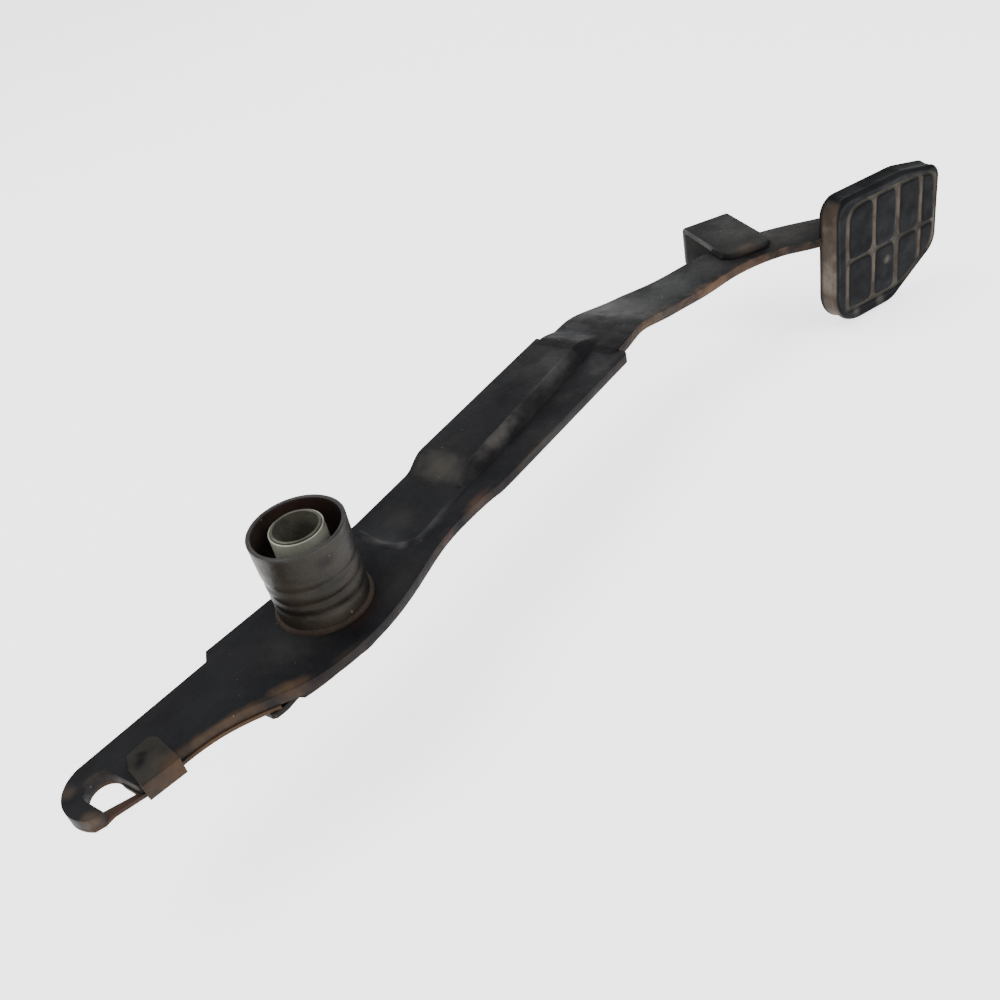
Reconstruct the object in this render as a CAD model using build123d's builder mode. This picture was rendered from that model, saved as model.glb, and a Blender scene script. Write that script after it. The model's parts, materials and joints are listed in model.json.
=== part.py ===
from build123d import *

import math
import os

# Hanging foot pedal lever of a car: hooked sheet lever, pivot hub, neck bar, stop bracket, rubber pad.
# Millimetres. The origin is on the pivot axis, level with the face of the lever plate that carries the
# hub. +Z runs along the pivot axis, out of the hub's open end, and +X runs along the lever to the pad.

os.makedirs("parts", exist_ok=True)

# Sheet and bar stock
plate_t = 4.0  # lever plate
doubler_t = 1.5  # hook doubler
rear_t = 2.5  # rear plate
bar_t = 4.5  # neck bar
bracket_t = 3.5  # stop bracket
pad_plate_t = 3.0  # steel backing of the pad

# Hub and what turns in it
hub_r = 16.3  # outside, where the hub meets the lever plate
hub_mouth_r = 17.0  # outside, at the open end
hub_wall = 1.6
hub_front = 33.0  # open end, above the lever plate
hub_rear = -16.0
hub_bore_r = hub_r - hub_wall
groove_count = 3  # rubbed into the hub's side
groove_first = 7.5  # height of the lowest
groove_pitch = 5.2
groove_depth = 0.45
groove_r = 1.8  # radius of its round section
bush_seat = 10.0  # length of bush pressed into the hub
bush_seat_low = 1.0  # of the front bush
rear_collar = 2.0  # length of the rear bush's neck
bush_neck_r = 9.5
sleeve_bore_r = 7.8
sleeve_wall = 0.95
running_gap = 0.05  # sleeve in bush, radial
end_play = 0.5  # sleeve proud of each bush

# Cable hook
nose_x, nose_y = -89.7, 12.3
nose_r = 13.0
nose_sweep = 120.0  # degrees round the tip
eye_r = 5.5
eye_x = -91.0
strip_w = 5.0  # height of the doubler's strip at the mouth's left, less at its right
doubler_end_x = -41.0
doubler_proud = 0.5  # past the lever plate's near edge
tab_turn = -13.0  # the folded tab
tab_x, tab_y = -79.0, -2.0
tab_w = 13.0
tab_reach = 15.2
tab_fold = 0.7  # outside radius of its fold

# Lever plate
hub_edge_y = -27.0  # near edge, beside the hub
waist_x, waist_y = 46.0, -21.2
near_end_x, near_end_y = 174.0, -27.3
near_corner = 3.0
far_end_x = near_end_x - 7.0
far_y0, far_y1 = 16.0, 14.9  # far edge, at the raised half's two ends
far_x0 = 36.0
hub_far_x, hub_far_y = 10.0, 17.2
step_x, step_y = -36.0, 23.2  # start of the wide hub stretch on the far edge
step_h, step_run = 3.8, 3.5
slit_x = 74.0
slit_y0, slit_y1 = -9.5, -6.5  # slit between the flat and the raised half, at its two ends
slit_w = 1.2
ramp_x0, ramp_x1 = 67.0, 80.0
rib_r = 2.3  # pressed rib, mostly sunk in the plate
rib_sink = 1.6

# Rear plate
rear_x0, rear_x1 = -44.5, 150.0
rear_inset = 3.6  # from the lever plate's near edge
rear_far_inset = 1.2
rear_corner = 8.0
lip_run = 8.0  # length of the joggle that drops the plate's lip under the doubler

# Neck bar
tongue_x = 100.0
tongue_inset = 0.8  # from the raised half's far edge
shoulder_y = -22.4
drop_x0, drop_x1 = 188.0, 222.0
neck_drop = 4.5

# Stop bracket
bracket_x, bracket_y = 290.0, -21.5
bracket_turn = 54.0
bracket_w = 25.0
bracket_len = 45.5
bracket_corner = 5.0  # at its free end
flange_h = 21.0
bend_r = 4.0

# Pad
pad_x, pad_y, pad_z = 301.1, -67.7, -19.0
pad_turn = -25.0
pad_side = 2.6  # cover past the corner of the bar's end
pad_half_w = 34.0
pad_shoulder = 44.0
pad_len = 68.8
pad_end_up, pad_end_down = 28.5, -13.5
pad_cut = 38.0
arm_corner_up, arm_corner_down, end_corner_up, end_corner_down, cut_corner = 9.0, 18.0, 7.0, 12.0, 14.0
cover_t = 9.0
cover_taper = 3.0
cover_round = 1.5
cover_wall = 3.0
cover_lip = 1.6
cover_lip_w = 4.5
lip_gap = 2.9  # beside the bar, in the lip's notch

# Welds
hub_weld = 3.2
weld_root = 0.6  # how far the hub weld's section starts inside the hub's side
seam_weld_w = 4.2
bead = 2.6
bracket_weld_start, bracket_weld_end_up, bracket_weld_end_down = -19.0, -7.5, -9.5
end_weld_len = 17.0  # along the bar
end_weld_inset = 1.6  # from the raised half's far edge
end_weld_low = 0.3  # its top, below the raised half's
pad_weld_start, pad_weld_len = 4.0, 28.0

tall = 200.0  # taller than anything here, for cutting and trimming

raise_h = bar_t  # the raised half rides over the bar's tongue
bar_low = -plate_t - neck_drop
bar_mid = bar_low + bar_t / 2 - pad_z  # height of the bar on the pad
slit_half = slit_w / 2


def slit_at(x):
    # Middle of the slit at x
    share = (x - slit_x) / (near_end_x - slit_x)
    return slit_y0 + share * (slit_y1 - slit_y0)


def lever_outline(proud):
    # Plan of the lever plate, uncut; the hook's near edge stands proud by a distance
    with BuildSketch() as shape:
        with BuildLine():
            nose = CenterArc((nose_x, nose_y), nose_r, 90, nose_sweep)
            edge = Polyline(
                nose @ 1,
                (nose @ 1) + Vector(3.0, -1.4),
                (eye_x - 3.5, 4.9 - proud),
                (eye_x + 7.0, 1.0 - proud),
                (-70.0, -0.9 - proud),
            )
            near = Spline(
                edge @ 1,
                (-58.2, -4.3 - proud),
                (-45.6, -11.4 - proud),
                (-33.0, -20.0),
                (-19.0, -24.9),
                (0.0, hub_edge_y),
                (24.0, -24.4),
                (waist_x, waist_y),
                (72.0, -23.0),
                (100.0, -24.9),
                tangents=[(1.0, -0.2), (1.0, -0.03)],
            )
            Polyline(
                near @ 1,
                (near_end_x, near_end_y),
                (near_end_x, far_y1),
                (far_x0, far_y0),
                (hub_far_x, hub_far_y),
                (step_x, step_y),
                (step_x - step_run, step_y - step_h),
                nose @ 0,
            )
        make_face()
    return shape.sketch


def far_half():
    # Plan of the raised half, from the ramp's foot to its end
    with BuildSketch() as shape:
        with BuildLine():
            Polyline(
                (ramp_x0, slit_at(ramp_x0) + slit_half),
                (far_end_x, slit_at(far_end_x) + slit_half),
                (far_end_x, tall),
                (ramp_x0, tall),
                close=True,
            )
        make_face()
    return shape.sketch


def joggle(x0, xa, xb, x1, low, rise, thick):
    # Side view of a sheet from x0 to x1 that rises by rise between xa and xb
    xm = (xa + xb) / 2
    with BuildSketch() as shape:
        with BuildLine():
            a = Line((x0, low), (xa, low))
            under = Spline(a @ 1, (xm, low + rise / 2), (xb, low + rise), tangents=[(1, 0), (1, 0)])
            b = Polyline(under @ 1, (x1, low + rise), (x1, low + rise + thick), (xb, low + rise + thick))
            over = Spline(
                b @ 1, (xm, low + rise / 2 + thick), (xa, low + thick), tangents=[(-1, 0), (-1, 0)]
            )
            Polyline(over @ 1, (x0, low + thick), a @ 0)
        make_face()
    return shape.sketch


def side_plane(y):
    # Plane in which x is X and y is Z, standing at y and facing -Y
    return Plane(origin=(0, y, 0), x_dir=(1, 0, 0), z_dir=(0, -1, 0))


def pad_plane(lift):
    # Plane of the pad, lift in front of the pad plate's back: x down the pad, y along the pivot
    c, s = math.cos(math.radians(pad_turn)), math.sin(math.radians(pad_turn))
    return Plane(
        origin=(pad_x + lift * s, pad_y - lift * c, pad_z), x_dir=(c, s, 0), z_dir=(s, -c, 0)
    )


def pad_outline(inset):
    # Outline of the pad, its corners rounded, inset all round
    corners = {
        (-pad_side, pad_half_w): arm_corner_up,
        (pad_len, pad_end_up): end_corner_up,
        (pad_len, pad_end_down): end_corner_down,
        (pad_cut, -pad_half_w): cut_corner,
        (-pad_side, -pad_half_w): arm_corner_down,
    }
    with BuildSketch() as whole:
        with BuildLine():
            Polyline(
                (-pad_side, pad_half_w),
                (pad_shoulder, pad_half_w),
                (pad_len, pad_end_up),
                (pad_len, pad_end_down),
                (pad_cut, -pad_half_w),
                (-pad_side, -pad_half_w),
                close=True,
            )
        make_face()
        for corner, radius in corners.items():
            fillet(whole.vertices().sort_by_distance((*corner, 0))[0], radius)
        if inset:
            offset(amount=-inset)
    return whole.sketch


# Lever plate: flat from the hook past the hub, its far half then raised over the neck bar
with BuildPart() as raised_half:
    with BuildSketch(side_plane(-tall / 2)):
        add(joggle(0, ramp_x0, ramp_x1, near_end_x, -plate_t, raise_h, plate_t))
    extrude(amount=-tall)
    with BuildSketch(Plane.XY.offset(-tall / 2)):
        add(lever_outline(0))
    extrude(amount=tall, mode=Mode.INTERSECT)
    with BuildSketch(Plane.XY.offset(-tall / 2)):
        add(far_half())
    extrude(amount=tall, mode=Mode.INTERSECT)

with BuildLine() as rib_path:
    Spline(
        (32.8, 11.8, -rib_sink),
        (30.9, -4.0, -rib_sink),
        (36.8, -12.2, -rib_sink),
        (48.3, -13.0, -rib_sink),
        (74.0, -11.8, -rib_sink),
        tangents=[(-0.1, -1.0, 0), (1.0, 0.05, 0)],
    )

with BuildPart() as lever_plate:
    with BuildSketch(Plane.XY.offset(-plate_t)):
        add(lever_outline(0))
        with BuildLine():
            Polyline(
                (ramp_x0, slit_at(ramp_x0) + slit_half),
                (slit_x, slit_at(slit_x) + slit_half),
                (slit_x + 3, slit_at(slit_x + 3) - slit_half),
                (near_end_x + 5, slit_at(near_end_x + 5) - slit_half),
                (near_end_x + 5, far_y0 + 5),
                (ramp_x0, far_y0 + 5),
                close=True,
            )
        make_face(mode=Mode.SUBTRACT)
        with Locations((eye_x, nose_y - tall / 4)):
            Rectangle(2 * eye_r, tall / 2, mode=Mode.SUBTRACT)
        with Locations((eye_x, nose_y)):
            Circle(eye_r, mode=Mode.SUBTRACT)
        Circle(hub_r, mode=Mode.SUBTRACT)
    extrude(amount=plate_t)
    corner = lever_plate.edges().filter_by(Axis.Z).sort_by_distance((near_end_x, near_end_y, 0))
    fillet(corner[0], near_corner)
    add(raised_half.part)
    with BuildSketch(Plane(origin=rib_path.line @ 0, z_dir=rib_path.line % 0)):
        Circle(rib_r)
    sweep(path=rib_path.line)
lever_plate.part.label = "lever_plate"
export_step(lever_plate.part, "parts/lever_plate.step")

# Hook doubler: a thin sheet behind the hook that closes the eye's mouth and folds over the near edge
tab_plane = Plane.XY.rotated((0, 0, tab_turn))
tab_plane.origin = (tab_x, tab_y, -plate_t - doubler_t)
with BuildPart() as hook_doubler:
    with BuildSketch(Plane.XY.offset(-plate_t - doubler_t)):
        add(lever_outline(doubler_proud))
        with Locations((doubler_end_x + tall, 0)):
            Rectangle(2 * tall, tall, mode=Mode.SUBTRACT)
    extrude(amount=doubler_t)
    with BuildSketch(Plane.XY.offset(-plate_t - doubler_t)):
        with BuildLine():
            arc = CenterArc((eye_x, nose_y), eye_r, -20, 220)
            Polyline(
                arc @ 1,
                (eye_x - eye_r + 0.4, 3.6 + strip_w),
                (eye_x + eye_r - 0.6, strip_w - 1.6),
                arc @ 0,
            )
        make_face()
    extrude(amount=doubler_t, mode=Mode.SUBTRACT)
    with BuildSketch(tab_plane):
        with Locations((0.2, doubler_t / 2)):
            Rectangle(tab_w, 2 * doubler_t)
    extrude(amount=plate_t + 2 * doubler_t)
    with BuildSketch(tab_plane.offset(plate_t + doubler_t)):
        with BuildLine():
            Polyline(
                (0.2 - tab_w / 2, 0),
                (0.3 - tab_w / 2, tab_reach - 7),
                (-3.8, tab_reach - 1.2),
                (4.4, tab_reach),
                (tab_w / 2 - 0.2, tab_reach - 2.6),
                (0.2 + tab_w / 2, 0),
                close=True,
            )
        make_face()
    extrude(amount=doubler_t)
    fold = tab_plane.offset(plate_t + 2 * doubler_t).from_local_coords((0, -doubler_t / 2, 0))
    fillet(hook_doubler.edges().sort_by_distance(fold)[0], tab_fold)
    add(lever_plate.part, mode=Mode.SUBTRACT)
hook_doubler.part.label = "hook_doubler"
export_step(hook_doubler.part, "parts/hook_doubler.step")

# Rear plate: closes the lever from behind, its front lip passing under the doubler
with BuildPart() as rear_plate:
    with BuildSketch(side_plane(-tall / 2)):
        add(
            joggle(
                rear_x0 - 5,
                doubler_end_x,
                doubler_end_x + lip_run,
                rear_x1 + 5,
                -plate_t - doubler_t - rear_t,
                doubler_t,
                rear_t,
            )
        )
    extrude(amount=-tall)
    with BuildSketch(Plane.XY.offset(-tall / 2)):
        with BuildLine():
            low_edge = Spline(
                (-34.0, -18.4),
                (-19.0, -22.2),
                (0.0, hub_edge_y + rear_inset),
                (24.0, -24.4 + rear_inset),
                (waist_x, waist_y + rear_inset),
                (72.0, -23.0 + rear_inset),
                (100.0, -24.9 + rear_inset),
                tangents=[(1.0, -0.4), (1.0, -0.03)],
            )
            Polyline(
                low_edge @ 1,
                (rear_x1 - rear_corner, near_end_y + rear_inset + 0.6),
                (rear_x1, near_end_y + rear_inset + rear_corner),
                (rear_x1, far_y1 - rear_corner),
                (rear_x1 - rear_corner, far_y1 - rear_far_inset),
                (far_x0, far_y0 - rear_far_inset),
                (hub_far_x, hub_far_y),
                (step_x + 2, step_y - rear_far_inset),
                (step_x - 2, 0),
                (rear_x0, -8.0),
                (rear_x0, -13.2),
                (rear_x0 + 1.2, -14.4),
                (-34.6, -16.4),
                low_edge @ 0,
            )
        make_face()
        Circle(hub_r, mode=Mode.SUBTRACT)
    extrude(amount=tall, mode=Mode.INTERSECT)
rear_plate.part.label = "rear_plate"
export_step(rear_plate.part, "parts/rear_plate.step")

# Neck bar: its tongue lies between the raised half and the rear plate, and its end meets the pad
with BuildPart() as neck_bar:
    with BuildSketch(side_plane(-tall / 2)):
        add(joggle(0, drop_x0, drop_x1, 2 * tall, -plate_t, -neck_drop, bar_t))
    extrude(amount=-tall)
    with BuildSketch(Plane.XY.offset(-tall / 2)):
        with BuildLine():
            shoulder = Polyline(
                (tongue_x, slit_at(tongue_x) + slit_half),
                (near_end_x, slit_y1 + slit_half),
                (near_end_x, shoulder_y),
                (near_end_x + 8, shoulder_y + 0.2),
            )
            near_side = Spline(
                shoulder @ 1,
                (203.5, -20.8),
                (223.0, -25.5),
                (243.0, -33.0),
                (262.6, -38.6),
                (287.0, -53.8),
                (pad_x, pad_y - 2.5),
                tangents=[(1.0, 0.03), (1.0, -1.0)],
            )
            far_side = Spline(
                (322.0, -61.0),
                (301.3, -36.1),
                (282.0, -22.5),
                (263.0, -13.5),
                (238.7, -4.2),
                (219.0, 6.6),
                (197.0, 12.6),
                (178.0, far_y1 - tongue_inset),
                tangents=[(-1.0, 1.2), (-1.0, 0.02)],
            )
            Polyline(near_side @ 1, (330.0, -97.0), (350.0, -80.0), far_side @ 0)
            Polyline(far_side @ 1, (tongue_x, far_y1 - tongue_inset), shoulder @ 0)
        make_face()
    extrude(amount=tall, mode=Mode.INTERSECT)
    with BuildSketch(pad_plane(0)):
        Rectangle(tall, tall)
    extrude(amount=tall, mode=Mode.SUBTRACT)
neck_bar.part.label = "neck_bar"
export_step(neck_bar.part, "parts/neck_bar.step")

# Hub tube: open at both ends, slightly belled, with grooves rubbed into the side
with BuildPart() as hub_tube:
    with BuildSketch(Plane.XZ):
        with BuildLine():
            Polyline(
                (hub_bore_r, hub_rear),
                (hub_r, hub_rear),
                (hub_r, 0),
                (hub_mouth_r, hub_front),
                (hub_mouth_r - hub_wall, hub_front),
                (hub_bore_r, hub_front - bush_seat),
                close=True,
            )
        make_face()
        for i in range(groove_count):
            height = groove_first + i * groove_pitch
            wall = hub_r + (hub_mouth_r - hub_r) * height / hub_front
            with Locations((wall + groove_r - groove_depth, height)):
                Circle(groove_r, mode=Mode.SUBTRACT)
    revolve(axis=Axis.Z)
    fillet(hub_tube.edges().filter_by(GeomType.CIRCLE).group_by(Axis.Z)[-1], 0.5)
hub_tube.part.label = "hub_tube"
export_step(hub_tube.part, "parts/hub_tube.step")


def bush(seat_low, neck_low, neck_high):
    # Nylon bush: a wide ring pressed into the hub and a narrow neck round the sleeve
    with BuildPart() as shape:
        with BuildSketch(Plane.XY.offset(seat_low)):
            Circle(hub_bore_r)
        extrude(amount=bush_seat)
        with BuildSketch(Plane.XY.offset(neck_low)):
            Circle(bush_neck_r)
        extrude(amount=neck_high - neck_low)
        with BuildSketch(Plane.XY.offset(-tall / 2)):
            Circle(sleeve_bore_r + sleeve_wall + running_gap)
        extrude(amount=tall, mode=Mode.SUBTRACT)
    return shape.part


# Front bush: its long neck reaches the hub's open end
with BuildPart() as front_bush:
    add(bush(bush_seat_low, bush_seat_low, hub_front - end_play))
front_bush.part.label = "front_bush"
export_step(front_bush.part, "parts/front_bush.step")

# Rear bush: close to the hub's rear end
with BuildPart() as rear_bush:
    add(bush(hub_rear + rear_collar, hub_rear + end_play, hub_rear + rear_collar))
rear_bush.part.label = "rear_bush"
export_step(rear_bush.part, "parts/rear_bush.step")

# Pivot sleeve: the steel tube that the pivot bolt clamps, free to turn in the bushes
with BuildPart() as pivot_sleeve:
    with BuildSketch(Plane.XY.offset(hub_rear)):
        Circle(sleeve_bore_r + sleeve_wall)
        Circle(sleeve_bore_r, mode=Mode.SUBTRACT)
    extrude(amount=hub_front - hub_rear)
pivot_sleeve.part.label = "pivot_sleeve"
export_step(pivot_sleeve.part, "parts/pivot_sleeve.step")


def weld_ring(low, direction):
    # Weld round the hub from the height low, up (1) or down (-1), trimmed to the plate
    with BuildPart() as ring:
        with BuildSketch(Plane.XZ):
            with BuildLine():
                Polyline(
                    (hub_r - weld_root, low),
                    (hub_r + hub_weld, low),
                    (hub_r + hub_weld * 0.4, low + direction * hub_weld * 0.45),
                    (hub_r - weld_root, low + direction * hub_weld * 0.9),
                    close=True,
                )
            make_face()
        revolve(axis=Axis.Z)
        with BuildSketch(Plane.XY.offset(-tall / 2)):
            add(lever_outline(0))
        extrude(amount=tall, mode=Mode.INTERSECT)
        add(hub_tube.part, mode=Mode.SUBTRACT)
        with BuildSketch(Plane.XY.offset(-tall / 2)):
            Circle(hub_r - hub_wall / 2)
        extrude(amount=tall, mode=Mode.SUBTRACT)
    return ring.part


# Front hub weld
with BuildPart() as hub_weld_front:
    add(weld_ring(0, 1))
hub_weld_front.part.label = "hub_weld_front"
export_step(hub_weld_front.part, "parts/hub_weld_front.step")

# Rear hub weld
with BuildPart() as hub_weld_rear:
    add(weld_ring(-plate_t - rear_t, -1))
hub_weld_rear.part.label = "hub_weld_rear"
export_step(hub_weld_rear.part, "parts/hub_weld_rear.step")

# Seam weld: the bead that closes the slit, lying against the raised half
with BuildPart() as seam_weld:
    for x in (ramp_x1 + 1, far_end_x - 1):
        wall = Vector(x, slit_at(x) + slit_half, 0)
        with BuildSketch(Plane(origin=wall, x_dir=(0, 1, 0), z_dir=(1, 0, 0))):
            with BuildLine():
                Polyline((-seam_weld_w, 0), (0, 0), (0, raise_h * 0.85))
                ThreePointArc(
                    (0, raise_h * 0.85), (-seam_weld_w * 0.58, raise_h * 0.4), (-seam_weld_w, 0)
                )
            make_face()
    loft()
seam_weld.part.label = "seam_weld"
export_step(seam_weld.part, "parts/seam_weld.step")

# Neck weld: joins the bar's shoulder to the end of the flat half
with BuildPart() as neck_weld:
    with BuildSketch(side_plane(shoulder_y + 1)):
        with BuildLine():
            Polyline(
                (near_end_x - bead, 0),
                (near_end_x, 0),
                (near_end_x, raise_h - plate_t),
                (near_end_x + bead, raise_h - plate_t),
                (near_end_x, bead * 0.55),
                close=True,
            )
        make_face()
    extrude(amount=shoulder_y + 1 - slit_y1 + slit_w)
neck_weld.part.label = "neck_weld"
export_step(neck_weld.part, "parts/neck_weld.step")

# End weld: dressed down from the raised half's end to the bar
with BuildPart() as end_weld:
    with BuildSketch(side_plane(far_y1 - end_weld_inset)):
        with BuildLine():
            Polyline(
                (far_end_x, raise_h - plate_t),
                (far_end_x, raise_h - end_weld_low),
                (far_end_x + end_weld_len, raise_h - plate_t),
                close=True,
            )
        make_face()
    extrude(amount=far_y1 - end_weld_inset - slit_y1 - slit_half)
end_weld.part.label = "end_weld"
export_step(end_weld.part, "parts/end_weld.step")

# Stop bracket: an angle welded across the bar, its flange hanging past the bar's far side
along = Vector(1, 0, 0).rotate(Axis.Z, bracket_turn - 90)
across = Vector(1, 0, 0).rotate(Axis.Z, bracket_turn)
bracket_top = bar_low + bar_t + bracket_t
with BuildPart() as stop_bracket:
    start = Vector(bracket_x, bracket_y, 0) - along * (bracket_w / 2)
    with BuildSketch(Plane(origin=start, x_dir=across, z_dir=along)):
        with BuildLine():
            tip = bracket_len / 2
            a = Polyline(
                (-tip, bracket_top - bracket_t), (-tip, bracket_top), (tip - bend_r, bracket_top)
            )
            b = RadiusArc(a @ 1, (tip, bracket_top - bend_r), bend_r)
            c = Polyline(
                b @ 1,
                (tip, bracket_top - flange_h),
                (tip - bracket_t, bracket_top - flange_h),
                (tip - bracket_t, bracket_top - bend_r),
            )
            d = RadiusArc(c @ 1, (tip - bend_r, bracket_top - bracket_t), bracket_t - bend_r)
            Line(d @ 1, a @ 0)
        make_face()
    extrude(amount=bracket_w)
    free_end = stop_bracket.edges().filter_by(Axis.Z).sort_by(Axis((0, 0, 0), across))[:2]
    fillet(free_end, bracket_corner)
stop_bracket.part.label = "stop_bracket"
export_step(stop_bracket.part, "parts/stop_bracket.step")

# Bracket weld: a bead along each side of the bracket, on the bar
with BuildPart() as bracket_weld:
    for side, end in ((-1, bracket_weld_end_up), (1, bracket_weld_end_down)):
        foot = Vector(bracket_x, bracket_y, bar_low + bar_t)
        foot = foot + along * (side * bracket_w / 2) + across * bracket_weld_start
        with BuildSketch(Plane(origin=foot, x_dir=along, z_dir=across * -1)):
            with BuildLine():
                Polyline(
                    (0, 0),
                    (side * bead, 0),
                    (side * bead * 0.55, bead * 0.6),
                    (0, bead),
                    close=True,
                )
            make_face()
        extrude(amount=bracket_weld_start - end)
bracket_weld.part.label = "bracket_weld"
export_step(bracket_weld.part, "parts/bracket_weld.step")

# Pad plate: flat steel, welded across the bar's end
with BuildPart() as pad_plate:
    with BuildSketch(pad_plane(0)):
        add(pad_outline(cover_wall))
    extrude(amount=pad_plate_t)
pad_plate.part.label = "pad_plate"
export_step(pad_plate.part, "parts/pad_plate.step")

# Pad weld: a bead along the bar's end, above and below it
with BuildPart() as pad_weld:
    down_pad = pad_plane(0).x_dir
    foot = pad_plane(0).origin + down_pad * pad_weld_start
    for side in (-1, 1):
        base = bar_mid + side * bar_t / 2
        with BuildSketch(Plane(origin=foot, x_dir=(0, 0, 1), z_dir=down_pad)):
            with BuildLine():
                Polyline(
                    (base, 0),
                    (base + side * bead, 0),
                    (base + side * bead * 0.6, -bead * 0.55),
                    (base, -bead),
                    close=True,
                )
            make_face()
        extrude(amount=pad_weld_len)
pad_weld.part.label = "pad_weld"
export_step(pad_weld.part, "parts/pad_weld.step")

# Pad cover: rubber cap stretched over the plate, its lip notched round the bar
with BuildPart() as pad_cover:
    with BuildSketch(pad_plane(-cover_lip)):
        add(pad_outline(0))
    extrude(amount=cover_lip + pad_plate_t)
    with BuildSketch(pad_plane(pad_plate_t)):
        add(pad_outline(0))
    extrude(amount=cover_t - pad_plate_t, taper=cover_taper)
    fillet(pad_cover.faces().sort_by(Axis((0, 0, 0), pad_plane(0).z_dir))[-1].edges(), cover_round)
    with BuildSketch(pad_plane(0)):
        add(pad_outline(cover_wall))
    extrude(amount=pad_plate_t, mode=Mode.SUBTRACT)
    with BuildSketch(pad_plane(-cover_lip)):
        add(pad_outline(cover_wall + cover_lip_w))
        with Locations((0, bar_mid)):
            Rectangle(2 * pad_cut, bar_t + 2 * lip_gap)
    extrude(amount=cover_lip, mode=Mode.SUBTRACT)
pad_cover.part.label = "pad_cover"
export_step(pad_cover.part, "parts/pad_cover.step")
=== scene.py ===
import json
import math

import bmesh
import bpy
import numpy as np
from mathutils import Matrix, Vector


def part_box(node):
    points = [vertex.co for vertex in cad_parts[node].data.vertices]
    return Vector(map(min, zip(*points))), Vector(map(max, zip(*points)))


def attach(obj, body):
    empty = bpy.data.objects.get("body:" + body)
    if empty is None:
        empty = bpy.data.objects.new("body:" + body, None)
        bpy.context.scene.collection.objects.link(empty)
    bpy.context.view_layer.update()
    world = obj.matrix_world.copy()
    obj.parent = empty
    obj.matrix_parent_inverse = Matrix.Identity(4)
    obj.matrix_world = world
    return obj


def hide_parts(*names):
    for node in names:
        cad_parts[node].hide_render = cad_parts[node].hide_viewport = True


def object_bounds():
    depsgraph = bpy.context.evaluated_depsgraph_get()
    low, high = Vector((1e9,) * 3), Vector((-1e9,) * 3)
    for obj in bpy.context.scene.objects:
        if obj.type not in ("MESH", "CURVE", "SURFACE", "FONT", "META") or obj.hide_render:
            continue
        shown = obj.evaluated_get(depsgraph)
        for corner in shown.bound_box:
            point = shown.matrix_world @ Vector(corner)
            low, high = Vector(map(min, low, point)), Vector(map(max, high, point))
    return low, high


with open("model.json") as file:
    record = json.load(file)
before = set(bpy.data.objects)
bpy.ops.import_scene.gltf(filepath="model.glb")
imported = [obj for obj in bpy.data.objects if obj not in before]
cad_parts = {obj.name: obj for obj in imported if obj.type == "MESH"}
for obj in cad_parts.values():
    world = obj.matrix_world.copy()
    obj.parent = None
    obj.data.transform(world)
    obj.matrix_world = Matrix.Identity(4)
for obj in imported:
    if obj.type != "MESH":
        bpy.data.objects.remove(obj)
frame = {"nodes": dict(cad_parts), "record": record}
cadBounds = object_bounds()
mounts = {m["name"]: m for m in frame["record"]["mounts"]}
mm = 0.001

cameraLook = {
    "right": (0.534934, -0.822702, -0.192374),
    "up": (0.594346, 0.204590, 0.777750),
    "back": (-0.600499, -0.530381, 0.598412),
    "place": (-0.16410, -0.23384, 0.23072),
    "lens": 37.78,
    "sensor": 36.0,
}


def addCamera(look):
    # three unit directions of the view make its turn
    data = bpy.data.cameras.new("camera")
    data.lens = look["lens"]
    data.sensor_width = look["sensor"]
    camera = bpy.data.objects.new("camera", data)
    turn = Matrix((look["right"], look["up"], look["back"])).transposed()
    camera.matrix_world = Matrix.Translation(look["place"]) @ turn.to_4x4()
    bpy.context.scene.collection.objects.link(camera)
    bpy.context.scene.camera = camera


studio = {
    "world": (1.0, 1.0, 1.0),
    "worldStrength": 0.9,
    "floorColour": (0.92, 0.92, 0.92),
    "floorGlow": 2.0,
    "floorHalf": 40.0,
    "floorGap": 0.002,
    "floorRough": 0.9,
    "lamps": [
        # place, aim, size across, watts
        ((-0.10, 0.40, 1.0), (0.10, 0.0, 0.0), 0.8, 9.0),
        ((0.30, -0.85, 0.75), (0.15, -0.02, 0.0), 0.6, 5.0),
        ((1.30, 0.72, 0.42), (0.20, 0.0, 0.0), 0.5, 1.5),
    ],
}


def addStudio(look):
    # an even world, square lamps that face their aim, and one large pale square under the object
    world = bpy.data.worlds.new("studio")
    world.use_nodes = True
    background = world.node_tree.nodes["Background"]
    background.inputs["Color"].default_value = (*look["world"], 1)
    background.inputs["Strength"].default_value = look["worldStrength"]
    bpy.context.scene.world = world
    for i, (place, aim, size, watts) in enumerate(look["lamps"]):
        data = bpy.data.lights.new(f"lamp{i}", "AREA")
        data.size = size
        data.energy = watts
        lamp = bpy.data.objects.new(f"lamp{i}", data)
        away = Vector(place) - Vector(aim)
        lamp.matrix_world = Matrix.Translation(place) @ away.to_track_quat("Z", "Y").to_matrix().to_4x4()
        bpy.context.scene.collection.objects.link(lamp)
    half = look["floorHalf"]
    low = cadBounds[0][2] - look["floorGap"]
    corners = np.array([(-half, -half, low), (half, -half, low), (half, half, low), (-half, half, low)])
    floor = putMesh("floor", corners, np.array([[0, 1, 2, 3]]))
    paint = newMaterial("floorPaint")
    paint["shader"].inputs["Base Color"].default_value = (*look["floorColour"], 1)
    paint["shader"].inputs["Roughness"].default_value = look["floorRough"]
    paint["shader"].inputs["Emission Color"].default_value = (1, 1, 1, 1)
    paint["shader"].inputs["Emission Strength"].default_value = look["floorGlow"]
    floor.data.materials.append(paint["material"])


def putMesh(name, points, faces):
    # a mesh object from an array of points and an array of faces
    mesh = bpy.data.meshes.new(name)
    mesh.from_pydata(np.asarray(points).reshape(-1, 3).tolist(), [], np.asarray(faces).tolist())
    piece = bpy.data.objects.new(name, mesh)
    bpy.context.scene.collection.objects.link(piece)
    return piece


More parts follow.
